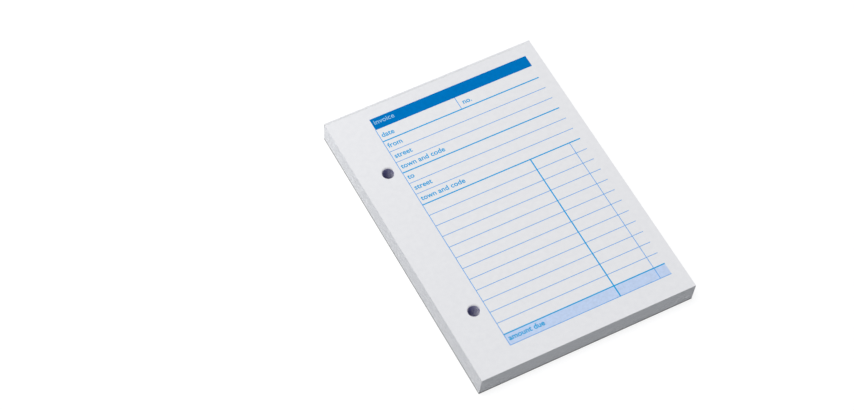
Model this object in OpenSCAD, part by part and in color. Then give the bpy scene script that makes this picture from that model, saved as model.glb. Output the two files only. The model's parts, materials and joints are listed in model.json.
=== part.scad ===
// Invoice book: a pad of loose A6 forms glued along the head to a backing
// board, with a scored card cover that is turned back under the pad.
// Origin at the middle of the underside, +Y to the head, +Z up, millimetres.

/* [Forms] */
// Width of one form
form_w = 105; // [80:1:210]
// Height of one form, from foot to head
form_h = 148; // [120:1:297]
// Thickness of one sheet of paper
form_t = 0.088; // [0.06:0.002:0.16]
// Air between two sheets that lie in the pad
sheet_air = 0.004; // [0.002:0.001:0.02]
// Room round the top form, which turns by itself
leaf_air = 0.03; // [0.01:0.01:0.1]
// Sheets in each block under the single forms
block_sheets = 10; // [2:1:20]

/* [Filing holes] */
// Diameter of each drilled hole
hole_d = 5.5; // [4:0.5:8]
// Distance between the two holes
hole_spacing = 80; // [60:1:110]
// Distance from the left edge to the middle of the holes
hole_margin = 13.5; // [8:0.5:20]
// How far the middle of the pair lies below the middle of the form
hole_drop = 1.75; // [-10:0.25:10]

/* [Back and binding] */
// Thickness of the backing board
board_t = 0.6; // [0.3:0.05:2]
// Thickness of the film of padding glue on the head
glue_t = 0.25; // [0.1:0.05:0.6]

/* [Cover] */
// Thickness of the cover card
card_t = 0.28; // [0.2:0.02:0.5]
// Room between the panels of the cover that move and the pad
cover_gap = 0.12; // [0.06:0.02:0.3]
// How far the round head fold bites into the spine panel
fold_bite = 0.08; // [0.04:0.02:0.16]

/* [Hidden] */
$fn = 48;
single_forms = 10;
form_blocks = 9;
form_count = single_forms + form_blocks * block_sheets;
sheet_pitch = form_t + sheet_air;

// Levels from the table upwards
board_z = card_t + cover_gap;
pad_z = board_z + board_t + sheet_air;
leaf_z = pad_z + (form_count - 1) * sheet_pitch - sheet_air + leaf_air;
pad_top = leaf_z + form_t;

// The head fold: a roll of card that the hinge strip turns about
fold_offset = card_t / 2 + cover_gap;
fold_r = sqrt(2) * fold_offset + fold_bite;
fold_z = pad_top + fold_offset;

// The turn fold: the second score, where strip and front panel meet
turn_r = card_t / 2;
turn_z = turn_r;
strip_len = fold_z - turn_z;

// Depths, with the origin in the middle of the whole depth
depth = form_h + glue_t + card_t + fold_offset + fold_r;
foot_y = -depth / 2;
head_y = foot_y + form_h;
spine_y = head_y + glue_t;
fold_y = spine_y + card_t + fold_offset;
left_x = -form_w / 2;

hole_x = left_x + hole_margin;
hole_mid_y = foot_y + form_h / 2 - hole_drop;
// A cut runs past both faces of the sheet by this much
cut_over = 1;

function form_name(n) = str("form_", n < 10 ? "0" : "", n);
function block_name(b) = str("form_block_", b);
// Height of the underside of sheet n, counted from the top
function sheet_z(n) = n == 1 ? leaf_z : pad_z + (form_count - n) * sheet_pitch;

// A plate across the full width of the book
module plate(y, z, length, height) {
    translate([left_x, y, z]) cube([form_w, length, height]);
}

// A round fold of card across the full width of the book
module fold_roll(y, z, r) {
    translate([left_x, y, z]) rotate([0, 90, 0]) cylinder(r = r, h = form_w);
}

// A sheet drilled with the two holes that take the prongs of a file
module drilled_plate(z, length, height) {
    difference() {
        plate(foot_y, z, length, height);
        for (side = [-1, 1])
            translate([hole_x, hole_mid_y + side * hole_spacing / 2, z - cut_over])
                cylinder(d = hole_d, h = height + 2 * cut_over);
    }
}

// One drilled sheet of paper; the top one stops a little short of the glue
module sheet(n) {
    drilled_plate(sheet_z(n), n == 1 ? form_h - leaf_air : form_h, form_t);
}

// A form of its own, counted from the top
module form(n) {
    color("whitesmoke") sheet(n);
}

// A run of separate sheets below the single forms
module form_block(b) {
    first = single_forms + (b - 1) * block_sheets + 1;
    color("white") for (n = [first:first + block_sheets - 1]) sheet(n);
}

// Grey board that stiffens the pad from below, drilled together with the forms
module backing_board() {
    color("darkgray") drilled_plate(board_z, form_h, board_t);
}

// Film of glue that holds the sheets and the board along the head
module head_glue() {
    color("ivory") plate(head_y, board_z, glue_t, pad_top - board_z);
}

// Panel of the cover glued to the head, with the round fold along its top
module cover_spine() {
    color("midnightblue") {
        plate(spine_y, board_z, card_t, pad_top - board_z);
        fold_roll(fold_y, fold_z, fold_r);
    }
}

// Strip of the cover between its two scores, as high as the pad
module cover_hinge_strip() {
    color("navy") {
        plate(fold_y - card_t / 2, turn_z, card_t, fold_z - fold_r - cover_gap - turn_z);
        fold_roll(fold_y, turn_z, turn_r);
    }
}

// Front panel of the cover, lying under the board while the book is open
module cover_front() {
    panel_y = foot_y + strip_len;
    color("darkblue") plate(panel_y, 0, fold_y - fold_offset - panel_y, card_t);
}

for (n = [1:single_forms]) form(n);
for (b = [1:form_blocks]) form_block(b);
backing_board();
head_glue();
cover_spine();
cover_hinge_strip();
cover_front();
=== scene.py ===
import json
import math
import random
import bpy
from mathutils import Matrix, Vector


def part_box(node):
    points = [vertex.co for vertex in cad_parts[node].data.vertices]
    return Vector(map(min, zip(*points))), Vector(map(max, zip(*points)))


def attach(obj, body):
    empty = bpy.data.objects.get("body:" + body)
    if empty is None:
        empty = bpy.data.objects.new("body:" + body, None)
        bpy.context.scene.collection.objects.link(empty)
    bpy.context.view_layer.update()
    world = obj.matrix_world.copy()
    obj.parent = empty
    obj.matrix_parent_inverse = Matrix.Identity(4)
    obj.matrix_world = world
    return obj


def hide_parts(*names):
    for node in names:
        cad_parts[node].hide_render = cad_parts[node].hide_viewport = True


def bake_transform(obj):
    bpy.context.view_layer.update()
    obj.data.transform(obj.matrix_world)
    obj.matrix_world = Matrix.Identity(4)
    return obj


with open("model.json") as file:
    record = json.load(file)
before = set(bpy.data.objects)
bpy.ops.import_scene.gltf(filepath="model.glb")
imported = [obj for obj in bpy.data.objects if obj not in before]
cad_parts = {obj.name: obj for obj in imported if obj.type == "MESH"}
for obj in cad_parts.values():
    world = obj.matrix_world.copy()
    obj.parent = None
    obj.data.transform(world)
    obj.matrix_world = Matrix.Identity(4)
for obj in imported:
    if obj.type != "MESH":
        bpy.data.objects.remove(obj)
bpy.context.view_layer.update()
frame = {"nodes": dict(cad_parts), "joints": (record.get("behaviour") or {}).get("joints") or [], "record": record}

from types import SimpleNamespace

import bmesh
import bpy
from mathutils import Quaternion, Vector
from mathutils.geometry import tessellate_polygon

# Camera
# The view looks down on the printed form from the left of its foot, through a long lens.
# Its place is measured from the middle of the top form's printed face.
mm = 0.001
aim_left = 31.60 * mm
aim_up = 15.49 * mm
view_distance = 1147.9 * mm
view_azimuth = math.radians(-29.501)
view_elevation = math.radians(56.047)
view_roll = math.radians(2.169)
lens_length = 110.24
sensor_width = 36

scene = bpy.context.scene
page_low, page_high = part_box("form_02")
page_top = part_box("form_01")[1].z
page_middle = (page_low + page_high) / 2
view_aim = Vector((page_middle.x - aim_left, page_middle.y + aim_up, page_top))
to_camera = Vector((
    math.sin(view_azimuth) * math.cos(view_elevation),
    -math.cos(view_azimuth) * math.cos(view_elevation),
    math.sin(view_elevation),
))

camera = bpy.data.objects.new("camera", bpy.data.cameras.new("camera"))
camera.data.lens = lens_length
camera.data.sensor_width = sensor_width
camera.location = view_aim + view_distance * to_camera
camera.rotation_mode = "QUATERNION"
camera.rotation_quaternion = (-to_camera).to_track_quat("-Z", "Y") @ Quaternion((0, 0, 1), view_roll)
scene.collection.objects.link(camera)
scene.camera = camera
scene.view_settings.view_transform = "Standard"

# Studio
# A pale floor under a white surround, one broad soft lamp high on the left, and a small low softbox
# by the upper left corner of the book, whose light falls off towards the foot.
white = (1, 1, 1, 1)
floor_half = 3.0
floor_drop = 0.02 * mm
floor_bounce = (0.5, 0.5, 0.5, 1)
floor_tone = (0.28, 0.28, 0.28, 1)
floor_white = 0.78
surround_fill = 0.262
surround_tint = (0.95, 0.985, 1.04, 1)
key_elevation = math.radians(82)
key_azimuth = math.radians(155)
key_strength = 1.92
key_softness = math.radians(40)
softbox_place = Vector((-0.22, 0.20, 0.05))
softbox_side = 0.12
softbox_power = 0.29


def place_node(tree, kind, inputs=None, **settings):
    """Adds a node: settings are its own properties, inputs are values, or sockets to link."""
    node = tree.nodes.new(kind)
    for name, value in settings.items():
        setattr(node, name, value)
    for name, value in (inputs or {}).items():
        if isinstance(value, bpy.types.NodeSocket):
            tree.links.new(value, node.inputs[name])
        else:
            node.inputs[name].default_value = value
    return node


def calculate(tree, operation, first, second=0.0):
    """The outcome of one sum on values or sockets."""
    return place_node(tree, "ShaderNodeMath", {0: first, 1: second}, operation=operation).outputs[0]


def seen_directly(tree):
    """1 for a ray from the camera, from a gloss or through glass, 0 for light that spreads."""
    path = place_node(tree, "ShaderNodeLightPath").outputs
    mirrored = calculate(tree, "MAXIMUM", path["Is Camera Ray"], path["Is Glossy Ray"])
    return calculate(tree, "MAXIMUM", mirrored, path["Is Transmission Ray"])


world = bpy.data.worlds.new("white_surround")
world.use_nodes = True
scene.world = world
tree = world.node_tree
tree.nodes.clear()
fill_light = place_node(tree, "ShaderNodeBackground", {"Color": surround_tint, "Strength": surround_fill})
white_view = place_node(tree, "ShaderNodeBackground", {"Color": white, "Strength": 1.0})
surround = place_node(
    tree, "ShaderNodeMixShader",
    {0: seen_directly(tree), 1: fill_light.outputs[0], 2: white_view.outputs[0]},
)
place_node(tree, "ShaderNodeOutputWorld", {"Surface": surround.outputs[0]})

floor_material = bpy.data.materials.new("pale_floor")
floor_material.use_nodes = True
tree = floor_material.node_tree
tree.nodes.clear()
bounce = place_node(tree, "ShaderNodeBsdfDiffuse", {"Color": floor_bounce})
tone = place_node(tree, "ShaderNodeBsdfDiffuse", {"Color": floor_tone})
glow = place_node(tree, "ShaderNodeEmission", {"Color": white, "Strength": floor_white})
shown = place_node(tree, "ShaderNodeAddShader", {0: tone.outputs[0], 1: glow.outputs[0]})
floor_shader = place_node(
    tree, "ShaderNodeMixShader",
    {0: seen_directly(tree), 1: bounce.outputs[0], 2: shown.outputs[0]},
)
place_node(tree, "ShaderNodeOutputMaterial", {"Surface": floor_shader.outputs[0]})

floor_mesh = bpy.data.meshes.new("floor")
floor_signs = ((-1, -1), (1, -1), (1, 1), (-1, 1))
floor_corners = [(floor_half * x, floor_half * y, -floor_drop) for x, y in floor_signs]
floor_mesh.from_pydata(floor_corners, [], [(0, 1, 2, 3)])
floor_mesh.materials.append(floor_material)
floor = bpy.data.objects.new("floor", floor_mesh)
scene.collection.objects.link(floor)


def place_lamp(name, kind, location, energy):
    """A lamp at location that shines towards the origin, and that no camera sees."""
    lamp = bpy.data.objects.new(name, bpy.data.lights.new(name, kind))
    lamp.data.energy = energy
    lamp.location = location
    lamp.rotation_mode = "QUATERNION"
    lamp.rotation_quaternion = location.to_track_quat("Z", "Y")
    lamp.visible_camera = False
    scene.collection.objects.link(lamp)
    return lamp.data


to_key = Vector((
    math.cos(key_azimuth) * math.cos(key_elevation),
    math.sin(key_azimuth) * math.cos(key_elevation),
    math.sin(key_elevation),
))
key = place_lamp("broad_lamp", "SUN", to_key, key_strength)
key.angle = key_softness
softbox = place_lamp("softbox", "AREA", softbox_place, softbox_power)
softbox.size = softbox_side

# Backing board
# A sheet of grey board of recycled fibre, as large as a form, under the pad.
# It is drilled in one go with the forms and held by the padding glue along the head.
board_low, board_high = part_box("backing_board")
bores = [m for m in frame["record"]["mounts"] if m["kind"] == "bore"]
hole_radius = bores[0]["dims"]["r_mm"] * mm
hole_centres = [(m["pos_m"][0], m["pos_m"][1]) for m in bores]
hole_steps = 64
hole_turns = [2 * math.pi * i / hole_steps for i in range(hole_steps)]
edge_slot, wall_slot = 1, 2
lean_at_foot = 1.1 * mm
lean_at_head = 0.5 * mm
entry_flare = 0.30 * mm
entry_depth = 0.45 * mm


def add_drilled_sheet(bm, left, right, foot, head, low, high, drift=0.0):
    """One closed sheet with both filing holes, which the drill leaves wider in the topmost sheets.

    The stack leans to the left on its way down, and the holes with it.
    """
    depth = (page_top - high) / (page_top - board_high.z)
    radius = hole_radius + entry_flare * max(0.0, 1 - (page_top - high) / entry_depth)
    at_foot = drift - depth * lean_at_foot
    at_head = drift - depth * lean_at_head
    loops = [[
        (left + at_foot, foot), (right + at_foot, foot), (right + at_head, head), (left + at_head, head)
    ]]
    for x, y in hole_centres:
        middle = x + at_foot + (at_head - at_foot) * (y - foot) / (head - foot)
        loops.append([(middle + radius * math.cos(a), y + radius * math.sin(a)) for a in hole_turns])
    points = [[Vector((x, y, 0)) for x, y in loop] for loop in loops]
    lower = [bm.verts.new((p.x, p.y, low)) for loop in points for p in loop]
    upper = [bm.verts.new((p.x, p.y, high)) for loop in points for p in loop]
    for corners in tessellate_polygon(points):
        bm.faces.new([upper[i] for i in corners])
        bm.faces.new([lower[i] for i in reversed(corners)])
    start = 0
    for loop in loops:
        for i in range(len(loop)):
            a = start + i
            b = start + (i + 1) % len(loop)
            wall = bm.faces.new((lower[a], lower[b], upper[b], upper[a]))
            wall.material_index = wall_slot if start else edge_slot
        start += len(loop)


def make_piece(name, bm, finishes, face_outwards=True):
    """Turns a bmesh into a named piece of the book, with its finishes in slot order."""
    if face_outwards:
        bmesh.ops.recalc_face_normals(bm, faces=bm.faces)
    mesh = bpy.data.meshes.new(name)
    bm.to_mesh(mesh)
    bm.free()
    for finish in finishes:
        mesh.materials.append(finish.material)
    piece = bpy.data.objects.new(name, mesh)
    scene.collection.objects.link(piece)
    return piece


# Pulp shows as clouds of thicker and thinner fibre with fine fibre on top, in paper, board and card alike.
cloud_detail = 3.0
fibre_detail = 4.0
fibre_twist = 1.5
pulp_low, pulp_high = 0.3, 0.7
matt_spread = 0.06
fibre_strength = 0.6
pulp = bpy.data.node_groups.new("pulp", "ShaderNodeTree")
for socket, kind in (("Place", "Vector"), ("Cloud Scale", "Float"), ("Fibre Scale", "Float")):
    pulp.interface.new_socket(socket, in_out="INPUT", socket_type="NodeSocket" + kind)
for socket in ("Cloud", "Fibre"):
    pulp.interface.new_socket(socket, in_out="OUTPUT", socket_type="NodeSocketFloat")
given = place_node(pulp, "NodeGroupInput").outputs
cloud = place_node(
    pulp, "ShaderNodeTexNoise",
    {"Vector": given["Place"], "Scale": given["Cloud Scale"], "Detail": cloud_detail},
)
fibre = place_node(
    pulp, "ShaderNodeTexNoise",
    {
        "Vector": given["Place"], "Scale": given["Fibre Scale"],
        "Detail": fibre_detail, "Distortion": fibre_twist,
    },
)
place_node(pulp, "NodeGroupOutput", {"Cloud": cloud.outputs["Fac"], "Fibre": fibre.outputs["Fac"]})


def mix_colours(tree, share, first, second):
    """The first colour where share is 0 and the second where it is 1; each a colour or a socket."""
    # The node has sockets for every kind of value: 6 and 7 are its colours, and 2 is the mixed one.
    return place_node(tree, "ShaderNodeMix", {0: share, 6: first, 7: second}, data_type="RGBA").outputs[2]


def stretch(tree, value, low, high, start=0.0, end=1.0):
    """A value from low to high, spread over start to end and kept there."""
    return place_node(
        tree, "ShaderNodeMapRange",
        {"Value": value, "From Min": low, "From Max": high, "To Min": start, "To Max": end},
    ).outputs["Result"]


def pulp_finish(name, fibre_size, fibre_depth, roughness, gloss, clouds=None):
    """Stuff made of pulp: its material, and the parts of it that a finish can be built on with.

    Clouds are the colours of thin and of thick pulp and the size of a cloud, where they show.
    """
    material = bpy.data.materials.new(name)
    material.use_nodes = True
    tree = material.node_tree
    shader = tree.nodes["Principled BSDF"]
    shader.inputs["Specular IOR Level"].default_value = gloss
    place = place_node(tree, "ShaderNodeTexCoord").outputs["Object"]
    grain = place_node(tree, "ShaderNodeGroup", node_tree=pulp)
    tree.links.new(place, grain.inputs["Place"])
    grain.inputs["Fibre Scale"].default_value = 1 / fibre_size
    fibre = grain.outputs["Fibre"]
    colour = None
    if clouds:
        thin, thick, cloud_size = clouds
        grain.inputs["Cloud Scale"].default_value = 1 / cloud_size
        colour = mix_colours(tree, stretch(tree, grain.outputs["Cloud"], pulp_low, pulp_high), thin, thick)
        tree.links.new(colour, shader.inputs["Base Color"])
    matt = stretch(tree, fibre, pulp_low, pulp_high, roughness - matt_spread, roughness + matt_spread)
    tree.links.new(matt, shader.inputs["Roughness"])
    relief = place_node(
        tree, "ShaderNodeBump", {"Height": fibre, "Distance": fibre_depth, "Strength": fibre_strength}
    )
    tree.links.new(relief.outputs["Normal"], shader.inputs["Normal"])
    return SimpleNamespace(
        material=material, tree=tree, shader=shader, colour=colour, place=place, fibre=fibre
    )


board_thin = (0.40, 0.385, 0.36, 1)
board_thick = (0.54, 0.525, 0.50, 1)
board_fleck = (0.20, 0.19, 0.18, 1)
fleck_start, fleck_full = 0.66, 0.74
# The board's cut edge is darker than its face, and darker still as painted contact shadow where it meets the
# floor.
board_edge_dark_with_shade = (0.10, 0.098, 0.096, 1)
board_edge_light_with_shade = (0.16, 0.157, 0.154, 1)
# Painted shade: the walls of the holes through the board are dark and bluish, as deep down in the holes.
board_wall_shade_deep = (0.10, 0.10, 0.16, 1)
board_wall_shade_soft = (0.14, 0.14, 0.22, 1)
board_cut_cloud = 0.5 * mm
board_cut = {"fibre_size": 0.1 * mm, "fibre_depth": 0.03 * mm, "roughness": 0.9, "gloss": 0.1}

board_face = pulp_finish(
    "grey_board", fibre_size=0.4 * mm, fibre_depth=0.03 * mm, roughness=0.85, gloss=0.2,
    clouds=(board_thin, board_thick, 3 * mm),
)
tree = board_face.tree
flecks = stretch(tree, board_face.fibre, fleck_start, fleck_full)
flecked = mix_colours(tree, flecks, board_face.colour, board_fleck)
tree.links.new(flecked, board_face.shader.inputs["Base Color"])
board_edge = pulp_finish(
    "grey_board_edge", **board_cut, clouds=(board_edge_dark_with_shade, board_edge_light_with_shade, board_cut_cloud)
)
board_wall = pulp_finish(
    "grey_board_wall", **board_cut, clouds=(board_wall_shade_deep, board_wall_shade_soft, board_cut_cloud)
)

bm = bmesh.new()
add_drilled_sheet(bm, board_low.x, board_high.x, board_low.y, board_high.y, board_low.z, board_high.z)
board = make_piece("backing_board_sheet", bm, [board_face, board_edge, board_wall])
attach(board, "pad")
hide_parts("backing_board")

# Forms in the pad
# Ninety-nine loose sheets of white writing paper, cut together by the knife on three sides, so that
# no two edges lie quite in line, and drilled together. The glue along the head holds them.
sheet_drift = 0.03 * mm
sheet_short = 0.05 * mm
paper_thin = (0.842, 0.840, 0.856, 1)
paper_thick = (0.872, 0.869, 0.881, 1)
sheet_thickness = page_high.z - page_low.z
sheet_pitch = page_low.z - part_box("form_03")[0].z
cutting = random.Random(11)

paper_face = pulp_finish(
    "form_paper", fibre_size=0.25 * mm, fibre_depth=0.006 * mm, roughness=0.8, gloss=0.12,
    clouds=(paper_thin, paper_thick, 2.5 * mm),
)

# The cut edge shows each sheet as a fine streak, some lighter and some darker, with nicks of the knife.
edge_light = (0.81, 0.824, 0.848, 1)
edge_dark = (0.69, 0.704, 0.728, 1)
streak_size = Vector((30, 30, 0.12)) * mm
streak_depth = 0.02 * mm
streak_strength = 0.5
nick_size = Vector((0.5, 0.5, 12)) * mm
nick_start, nick_full = 0.62, 0.85
knife_detail = 3.0


def drawn_out_noise(tree, place, size):
    """Noise whose grains have the given lengths along the three axes."""
    finer = place_node(tree, "ShaderNodeMapping", {"Vector": place, "Scale": [1 / length for length in size]})
    return place_node(
        tree, "ShaderNodeTexNoise", {"Vector": finer.outputs[0], "Scale": 1.0, "Detail": knife_detail}
    ).outputs["Fac"]


paper_edge = pulp_finish(
    "form_cut_edge", fibre_size=0.1 * mm, fibre_depth=0.01 * mm, roughness=0.9, gloss=0.08
)
tree = paper_edge.tree
streak = drawn_out_noise(tree, paper_edge.place, streak_size)
nick = drawn_out_noise(tree, paper_edge.place, nick_size)
streaked = mix_colours(tree, stretch(tree, streak, pulp_low, pulp_high), edge_dark, edge_light)
nicked = mix_colours(tree, stretch(tree, nick, nick_start, nick_full), streaked, edge_dark)
tree.links.new(nicked, paper_edge.shader.inputs["Base Color"])
relief = place_node(
    tree, "ShaderNodeBump", {"Height": streak, "Distance": streak_depth, "Strength": streak_strength}
)
tree.links.new(relief.outputs["Normal"], paper_edge.shader.inputs["Normal"])

# The wall of a hole is painted in deep bluish shade, and is pale as paper only where it meets the top of the pad.
wall_pale_depth = 0.25 * mm
wall_shade_depth = 0.9 * mm
wall_pale = (0.88, 0.88, 0.90, 1)
wall_shade_soft = (0.41, 0.40, 0.69, 1)
wall_shade_deep = (0.31, 0.30, 0.55, 1)
paper_wall = pulp_finish(
    "form_hole_wall", fibre_size=0.1 * mm, fibre_depth=0.01 * mm, roughness=0.8, gloss=0.08,
    clouds=(wall_shade_deep, wall_shade_soft, 1.5 * mm),
)
tree = paper_wall.tree
height = place_node(tree, "ShaderNodeSeparateXYZ", {0: paper_wall.place}).outputs["Z"]
# Painted shade: the wall darkens from the paper's pale colour to the shade colours as it goes down.
near_top = stretch(tree, height, page_top - wall_shade_depth, page_top - wall_pale_depth)
wall_colour_with_shade = mix_colours(tree, near_top, paper_wall.colour, wall_pale)
tree.links.new(wall_colour_with_shade, paper_wall.shader.inputs["Base Color"])

sheet_finishes = [paper_face, paper_edge, paper_wall]
pad_nodes = [n for n in sorted(frame["nodes"]) if n.startswith("form_") and n != "form_01"]
for node in pad_nodes:
    low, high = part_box(node)
    count = round((high.z - low.z - sheet_thickness) / sheet_pitch) + 1
    bm = bmesh.new()
    for i in range(count):
        drift = cutting.uniform(-sheet_drift, sheet_drift)
        foot = low.y + cutting.uniform(0, sheet_short)
        level = low.z + i * sheet_pitch
        add_drilled_sheet(bm, low.x, high.x, foot, high.y, level, level + sheet_thickness, drift)
    forms = make_piece(node + ("_sheets" if count > 1 else "_sheet"), bm, sheet_finishes)
    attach(forms, "pad")
    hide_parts(node)

# Padding glue
# A film of milky padding glue brushed over the head of the pad, which dries slightly uneven and creeps
# up the cover a little. It holds the sheets, the board and the spine panel, and a form is torn off it.
glue_low, glue_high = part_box("head_glue")
glue_columns = 84
glue_rows = 10
glue_lap = 0.06 * mm
glue_lap_share = (0.1, 1.0)
glue_rise = 0.105 * mm
brushing = random.Random(4)
glue_thin = (0.88, 0.88, 0.875, 1)
glue_thick = (0.93, 0.93, 0.925, 1)
glue_milkiness = 0.2
glue_milk_radius = (1.0, 0.9, 0.8)
glue_milk_depth = 0.4 * mm
glue_film = pulp_finish(
    "padding_glue", fibre_size=0.6 * mm, fibre_depth=0.03 * mm, roughness=0.42, gloss=0.4,
    clouds=(glue_thin, glue_thick, 4 * mm),
)
glue_film.shader.inputs["Subsurface Weight"].default_value = glue_milkiness
glue_film.shader.inputs["Subsurface Radius"].default_value = glue_milk_radius
glue_film.shader.inputs["Subsurface Scale"].default_value = glue_milk_depth

bm = bmesh.new()
tops = [glue_high.z - brushing.uniform(*glue_lap_share) * glue_lap for i in range(glue_columns + 1)]
sides = []
for y, rise in ((glue_low.y, 0.0), (glue_high.y, glue_rise)):
    grid = []
    for i in range(glue_columns + 1):
        x = glue_low.x + (glue_high.x - glue_low.x) * i / glue_columns
        column = []
        for j in range(glue_rows + 1):
            z = glue_low.z + (tops[i] + rise - glue_low.z) * j / glue_rows
            column.append(bm.verts.new((x - lean_at_head * (1 - j / glue_rows), y, z)))
        grid.append(column)
    sides.append(grid)
for grid in sides:
    for i in range(glue_columns):
        for j in range(glue_rows):
            bm.faces.new((grid[i][j], grid[i + 1][j], grid[i + 1][j + 1], grid[i][j + 1]))
near, far = sides
for i in range(glue_columns):
    for j in (0, glue_rows):
        bm.faces.new((near[i][j], near[i + 1][j], far[i + 1][j], far[i][j]))
for j in range(glue_rows):
    for i in (0, glue_columns):
        bm.faces.new((near[i][j], near[i][j + 1], far[i][j + 1], far[i][j]))
glue = make_piece("head_glue_film", bm, [glue_film])
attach(glue, "pad")
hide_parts("head_glue")

# Cover
# One sheet of thin card, printed and varnished outside and bare white inside, scored twice.
# Its spine panel is glued to the head, the hinge strip swings on the upper score, and the front
# panel on the lower one; turned right back, the front lies under the board, printed side up.
spine_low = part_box("cover_spine")[0]
front_low, front_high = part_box("cover_front")
joints = {j["name"]: j for j in frame["joints"]}
head_score = Vector(joints["cover_fold"]["pos_m"][1:])
foot_score = Vector(joints["cover_turn"]["pos_m"][1:])
card_half = (front_high.z - front_low.z) / 2
card_thin = (0.90, 0.902, 0.92, 1)
card_thick = (0.945, 0.946, 0.955, 1)
card_inside = pulp_finish(
    "card_inside", fibre_size=0.35 * mm, fibre_depth=0.01 * mm, roughness=0.75, gloss=0.2,
    clouds=(card_thin, card_thick, 4 * mm),
)
card_core = pulp_finish(
    "card_core", fibre_size=0.08 * mm, fibre_depth=0.02 * mm, roughness=0.9, gloss=0.1,
    clouds=(card_thin, card_thick, 0.4 * mm),
)

# The print outside: a navy ground with a painted sheen that streaks it lighter, an upright band between
# two fine lines, a blue field beside it and a plain white plate with writing lines. It is worn at the scores.
navy_dark = (0.006, 0.007, 0.052, 1)
navy_sheen = (0.014, 0.045, 0.180, 1)
field_blue = (0.004, 0.085, 0.370, 1)
band_red = (0.120, 0.004, 0.008, 1)
print_white = (0.80, 0.81, 0.83, 1)
plate_line = (0.35, 0.55, 0.80, 1)
sheen_turn = (0, 0, 0.6)
sheen_scale = (9, 4, 1)
sheen_start, sheen_full = 0.35, 0.72
band_left, band_right = 80 * mm, 88 * mm
line_width = 0.7 * mm
plate_left, plate_right = 22 * mm, 70 * mm
plate_foot, plate_head = 84 * mm, 116 * mm
plate_margin = 4 * mm
plate_pitch = 8 * mm
plate_line_width = 0.3 * mm
wear_reach = 0.30 * mm
wear_full = 0.5 * card_half
edge_wear_reach = 0.35 * mm
rub_start, rub_full, rub_most = 0.50, 0.72, 0.5


def between(tree, value, low, high):
    """1 where a value lies from low to high, 0 elsewhere."""
    above = calculate(tree, "GREATER_THAN", value, low)
    return calculate(tree, "MULTIPLY", above, calculate(tree, "LESS_THAN", value, high))


card_outside = pulp_finish(
    "card_outside", fibre_size=0.5 * mm, fibre_depth=0.004 * mm, roughness=0.36, gloss=0.12
)
tree = card_outside.tree
# Painted sheen: long lighter streaks of navy laid slantwise over the ground, as light off the varnish.
sheen_place = place_node(
    tree, "ShaderNodeMapping",
    {"Vector": card_outside.place, "Rotation": sheen_turn, "Scale": sheen_scale},
)
sheen_streaks = place_node(tree, "ShaderNodeTexNoise", {"Vector": sheen_place.outputs[0], "Scale": 1.0, "Detail": 1.0})
sheen_share = stretch(tree, sheen_streaks.outputs["Fac"], sheen_start, sheen_full)
ground = mix_colours(tree, sheen_share, navy_dark, navy_sheen)
axes = place_node(tree, "ShaderNodeSeparateXYZ", {0: card_outside.place}).outputs
across = calculate(tree, "SUBTRACT", axes["X"], front_low.x)
upward = calculate(tree, "SUBTRACT", axes["Y"], front_low.y)
full_width = front_high.x - front_low.x
for low, high, paint in (
    (band_right, full_width + line_width, field_blue),
    (band_left, band_right, band_red),
    (band_left - line_width, band_left, print_white),
    (band_right, band_right + line_width, print_white),
):
    ground = mix_colours(tree, between(tree, across, low, high), ground, paint)
for margin, paint in ((0.0, print_white), (plate_margin, plate_line)):
    inside = calculate(
        tree, "MULTIPLY",
        between(tree, across, plate_left + margin, plate_right - margin),
        between(tree, upward, plate_foot + margin, plate_head - margin),
    )
    if margin:
        ruled = calculate(tree, "MODULO", calculate(tree, "SUBTRACT", upward, plate_foot), plate_pitch)
        inside = calculate(tree, "MULTIPLY", inside, between(tree, ruled, 0.0, plate_line_width))
    ground = mix_colours(tree, inside, ground, paint)
section_place = place_node(
    tree, "ShaderNodeMapping", {"Vector": card_outside.place, "Scale": (0, 1, 1)}
).outputs[0]
worn = 0.0
for score in (head_score, foot_score):
    away = place_node(
        tree, "ShaderNodeVectorMath", {0: section_place, 1: (0, score.x, score.y)}, operation="DISTANCE"
    ).outputs["Value"]
    worn = calculate(tree, "MAXIMUM", worn, stretch(tree, away, wear_reach, wear_full))
side = calculate(tree, "ABSOLUTE", axes["X"])
worn_side = stretch(tree, side, front_high.x - edge_wear_reach, front_high.x)
worn = calculate(tree, "MAXIMUM", worn, worn_side)
rough_spots = stretch(tree, card_outside.fibre, rub_start, rub_full, 0.0, rub_most)
rubbed = calculate(tree, "MULTIPLY", worn, rough_spots)
tree.links.new(mix_colours(tree, rubbed, ground, print_white), card_outside.shader.inputs["Base Color"])

score_steps = 12
quarter_turn, half_turn = score_steps // 4, score_steps // 2
score_slack = 0.002 * mm
score_half = 0.085 * mm
score_reach = 0.3 * mm
outside_slot, inside_slot, core_slot = 0, 1, 2


def along(start, end):
    """Unit vector from one point of the card's section to another, and the one to its left."""
    ahead = (end - start).normalized()
    return ahead, Vector((-ahead.y, ahead.x))


def card_sides(line, halves):
    """Points on the right and on the left of a centre line, half the card's thickness there away."""
    right, left = [], []
    for i, (point, half) in enumerate(zip(line, halves)):
        before = along(line[max(i - 1, 0)], line[max(i, 1)])[1]
        after = along(line[min(i, len(line) - 2)], line[min(i + 1, len(line) - 1)])[1]
        side = (before + after).normalized()
        reach = half / side.dot(after)
        right.append(point - reach * side)
        left.append(point + reach * side)
    return right, left


def round_end(start, end, reaches):
    """Points round the end of a centre line, from its right to its left, with a reach for each step."""
    ahead, aside = along(start, end)
    steps = len(reaches) + 1
    turns = [math.pi * i / steps for i in range(1, steps)]
    return [end + r * (math.sin(a) * ahead - math.cos(a) * aside) for a, r in zip(turns, reaches)]


def add_card(bm, outline):
    """A width of card from its outline in the book's section: points, each with the slot of the next face."""
    rings = [[bm.verts.new((x, p.x, p.y)) for p, slot in outline] for x in (front_low.x, front_high.x)]
    for ring in rings:
        bm.faces.new(ring).material_index = core_slot
    for i in range(len(outline)):
        j = (i + 1) % len(outline)
        face = bm.faces.new((rings[0][i], rings[0][j], rings[1][j], rings[1][i]))
        face.material_index = outline[i][1]


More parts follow.
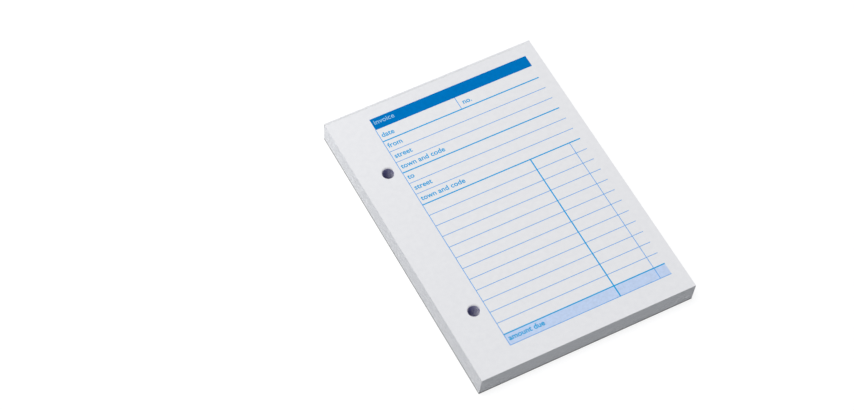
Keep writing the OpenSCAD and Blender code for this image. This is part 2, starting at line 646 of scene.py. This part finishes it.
# The spine's fold leans out to the upper score, where the card is pressed thin, and its bare side rises
# gently from the glue. Its round end is printed from the top outwards, and gives way there to the strip's
# own round edge, which is bare, so that both states show the right side.
fold_height = 0.55 * mm
fold_lean = 0.06 * mm
fold_rise = 0.2 * mm
spine_middle = spine_low.y + card_half
fold_foot = head_score.y - fold_height
spine_line = [
    Vector((spine_middle, spine_low.z)),
    Vector((spine_middle, fold_foot)),
    Vector((spine_middle + fold_lean, fold_foot + fold_rise)),
    head_score,
]
right, left = card_sides(spine_line, [card_half] * 3 + [score_half - score_slack])
reaches = [score_half + (score_slack if i < quarter_turn else -score_slack) for i in range(1, score_steps)]
tip = round_end(spine_line[-2], spine_line[-1], reaches)
spine_outline = [(p, outside_slot) for p in right]
spine_outline += [(p, outside_slot if i < 3 * quarter_turn else inside_slot) for i, p in enumerate(tip, 1)]
spine_outline += [(left[-1], inside_slot), (Vector((spine_low.y, page_top + glue_rise)), inside_slot)]
spine_outline += [(left[0], core_slot)]

strip_line = [head_score, head_score + score_reach * along(head_score, foot_score)[0], foot_score]
right, left = card_sides(strip_line, [score_half, card_half, card_half])
tip = round_end(head_score, foot_score, [card_half] * (score_steps - 1))
tail = round_end(foot_score, head_score, [score_half] * (score_steps - 1))[:half_turn]
strip_outline = [(p, outside_slot) for p in right]
strip_outline += [(p, outside_slot if i < half_turn else inside_slot) for i, p in enumerate(tip, 1)]
strip_outline += [(p, inside_slot) for p in list(reversed(left)) + tail]
strip_outline += [(head_score, core_slot)]

front_line = [foot_score, Vector((front_low.y, foot_score.y))]
right, left = card_sides(front_line, [card_half - score_slack] * 2)
tail = round_end(front_line[1], foot_score, [card_half - score_slack] * (score_steps - 1))
front_outline = [(p, outside_slot) for p in right]
front_outline[-1] = (right[-1], core_slot)
front_outline += [(p, inside_slot) for p in reversed(left)]
front_outline += [(p, inside_slot if i < half_turn else outside_slot) for i, p in enumerate(tail, 1)]

for name, outline, body, node in (
    ("cover_spine_card", spine_outline, "pad", "cover_spine"),
    ("cover_strip_card", strip_outline, "cover_strip", "cover_hinge_strip"),
    ("cover_front_card", front_outline, "cover_panel", "cover_front"),
):
    bm = bmesh.new()
    add_card(bm, outline)
    panel = make_piece(name, bm, [card_outside, card_inside, card_core])
    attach(panel, body)
    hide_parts(node)

# Top form
# The sheet that is written on next: white paper like the rest, and the one form that is turned over in use.
# It is cut into rows along the glue line at the head, ready for a bend there, and lies a hair above the form below
# it.
leaf_low, leaf_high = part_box("form_01")
bend_reach = 4 * mm
bend_rows = 20
bend_weld = 0.0001 * mm
bm = bmesh.new()
add_drilled_sheet(bm, leaf_low.x, leaf_high.x, leaf_low.y, leaf_high.y, leaf_low.z, leaf_high.z)
for i in range(1, bend_rows + 1):
    row = Vector((0, leaf_high.y - bend_reach * i / bend_rows, 0))
    everything = bm.verts[:] + bm.edges[:] + bm.faces[:]
    bmesh.ops.bisect_plane(bm, geom=everything, plane_co=row, plane_no=(0, 1, 0), dist=bend_weld)
leaf = make_piece("form_01_sheet", bm, sheet_finishes)
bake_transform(leaf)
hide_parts("form_01")

# Form print
# Offset print in one blue on every form: a solid bar for the heading, ruled lines for the two
# parties and the goods, two money columns and a tinted band for the sum, with small field names.
print_left = 19.1 * mm
print_right = 98.65 * mm
bar_left, bar_right = 19.16 * mm, 99.14 * mm
bar_head, bar_foot = 6.1 * mm, 12.46 * mm
party_first = 19.57 * mm
party_pitch = 6.348 * mm
party_rows = 6
goods_pitch = 6.203 * mm
goods_rows = 12
sum_row = 5.84 * mm
heavy_rules = (0, 3, 6, 18)
fine_half = 0.15 * mm
heavy_half = 0.30 * mm
number_split = 59.1 * mm
sum_column = 73.22 * mm
cents_column = 93.17 * mm
name_height = 3.6 * mm
name_left = print_left + 1.0 * mm
number_left = number_split + 2.0 * mm
name_lift = 2.2 * mm
heading_lift = 2.75 * mm
name_weight = 0.065 * mm
sum_weight = 0.085 * mm
heading_weight = 0.02 * mm
letter_steps = 5
ink_film = 0.002 * mm
ink_gap = 0.004 * mm
ink_weld = 0.001 * mm

ink_deep = (0.000, 0.185, 0.545, 1)
ink_line = (0.000, 0.385, 0.775, 1)
ink_fine = (0.070, 0.365, 0.830, 1)
ink_tint = (0.580, 0.700, 0.925, 1)
ink_reversed = (0.33, 0.60, 0.84, 1)
ink_mottle = 0.05


def ink_finish(name, colour):
    """Blue offset ink on uncoated paper, slightly mottled where the paper takes more or less of it."""
    full = [(1 - ink_mottle) * c for c in colour[:3]] + [1]
    thin = [(1 + ink_mottle) * c for c in colour[:3]] + [1]
    return pulp_finish(
        name, fibre_size=0.25 * mm, fibre_depth=0.006 * mm, roughness=0.75, gloss=0.0,
        clouds=(full, thin, 1.2 * mm),
    )


deep_blue = ink_finish("ink_deep_blue", ink_deep)
rule_blue = ink_finish("ink_rule_blue", ink_line)
fine_blue = ink_finish("ink_fine_blue", ink_fine)
blue_tint = ink_finish("ink_blue_tint", ink_tint)
reversed_out = ink_finish("ink_reversed_out", ink_reversed)
layer_inks = {
    "header": deep_blue, "sum_band": blue_tint, "fine_rules": fine_blue,
    "heavy_rules": rule_blue, "field_names": rule_blue, "heading": reversed_out,
}
# Where prints cross, each lies a film higher than the one that it crosses.
band_level, fine_level, heavy_level, column_level, heavy_column_level, word_level = range(6)


def add_print(bm, left, right, head, foot, face, level):
    """A thin film of ink on the page, measured from its left edge and its head."""
    low = face + ink_gap + level * ink_film
    corners = [
        (page_low.x + x, page_high.y - y, low + z)
        for z in (0, ink_film) for x, y in ((left, foot), (right, foot), (right, head), (left, head))
    ]
    v = [bm.verts.new(corner) for corner in corners]
    bm.faces.new((v[3], v[2], v[1], v[0]))
    bm.faces.new(v[4:])
    for i in range(4):
        j = (i + 1) % 4
        bm.faces.new((v[i], v[j], v[j + 4], v[i + 4]))


def add_words(bm, words, left, baseline, face, weight):
    """A field name in small letters, as ink of the same thickness."""
    curve = bpy.data.curves.new("words", "FONT")
    curve.body = words
    curve.size = name_height
    curve.extrude = ink_film / 2
    curve.offset = weight
    curve.resolution_u = letter_steps
    setting = bpy.data.objects.new("words", curve)
    middle = face + ink_gap + (word_level + 0.5) * ink_film
    setting.location = (page_low.x + left, page_high.y - baseline, middle)
    scene.collection.objects.link(setting)
    bpy.context.view_layer.update()
    shaped = setting.evaluated_get(bpy.context.evaluated_depsgraph_get())
    letters = bpy.data.meshes.new_from_object(shaped)
    letters.transform(setting.matrix_world)
    bm.from_mesh(letters)
    bmesh.ops.remove_doubles(bm, verts=bm.verts, dist=ink_weld)
    bmesh.ops.dissolve_degenerate(bm, edges=bm.edges, dist=ink_weld)
    bpy.data.meshes.remove(letters)
    bpy.data.objects.remove(setting)
    bpy.data.curves.remove(curve)


rules = [party_first + k * party_pitch for k in range(party_rows + 1)]
rules += [rules[-1] + k * goods_pitch for k in range(1, goods_rows + 1)]
rules.append(rules[-1] + sum_row)
goods_head, band_head, band_foot = rules[party_rows], rules[-2], rules[-1]
columns = (
    (print_left, bar_foot, band_foot, "fine_rules", fine_half, column_level),
    (number_split, bar_foot, rules[0], "fine_rules", fine_half, column_level),
    (sum_column, goods_head, band_foot, "heavy_rules", heavy_half, heavy_column_level),
    (cents_column, goods_head, band_foot, "fine_rules", fine_half, column_level),
)
field_names = ("date", "from", "street", "town and code", "to", "street", "town and code")
for node, body in (("form_01", "top_form"), ("form_02", "pad")):
    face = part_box(node)[1].z
    layers = {layer: bmesh.new() for layer in layer_inks}
    add_print(layers["header"], bar_left, bar_right, bar_head, bar_foot, face, band_level)
    add_print(layers["sum_band"], print_left, print_right, band_head, band_foot + fine_half, face, band_level)
    for k, y in enumerate(rules):
        layer, half, level = ("fine_rules", fine_half, fine_level)
        if k in heavy_rules:
            layer, half, level = ("heavy_rules", heavy_half, heavy_level)
        add_print(layers[layer], print_left, print_right, y - half, y + half, face, level)
    for x, head, foot, layer, half, level in columns:
        add_print(layers[layer], x - half, x + half, head, foot, face, level)
    names = layers["field_names"]
    for words, y in zip(field_names, rules):
        add_words(names, words, name_left, y - name_lift, face, name_weight)
    add_words(names, "no.", number_left, rules[0] - name_lift, face, name_weight)
    add_words(names, "amount due", name_left, band_foot - name_lift, face, sum_weight)
    add_words(layers["heading"], "invoice", name_left, bar_foot - heading_lift, face, heading_weight)
    for layer, ink in layer_inks.items():
        print_piece = make_piece(node + "_" + layer, layers[layer], [ink], face_outwards=False)
        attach(print_piece, body)
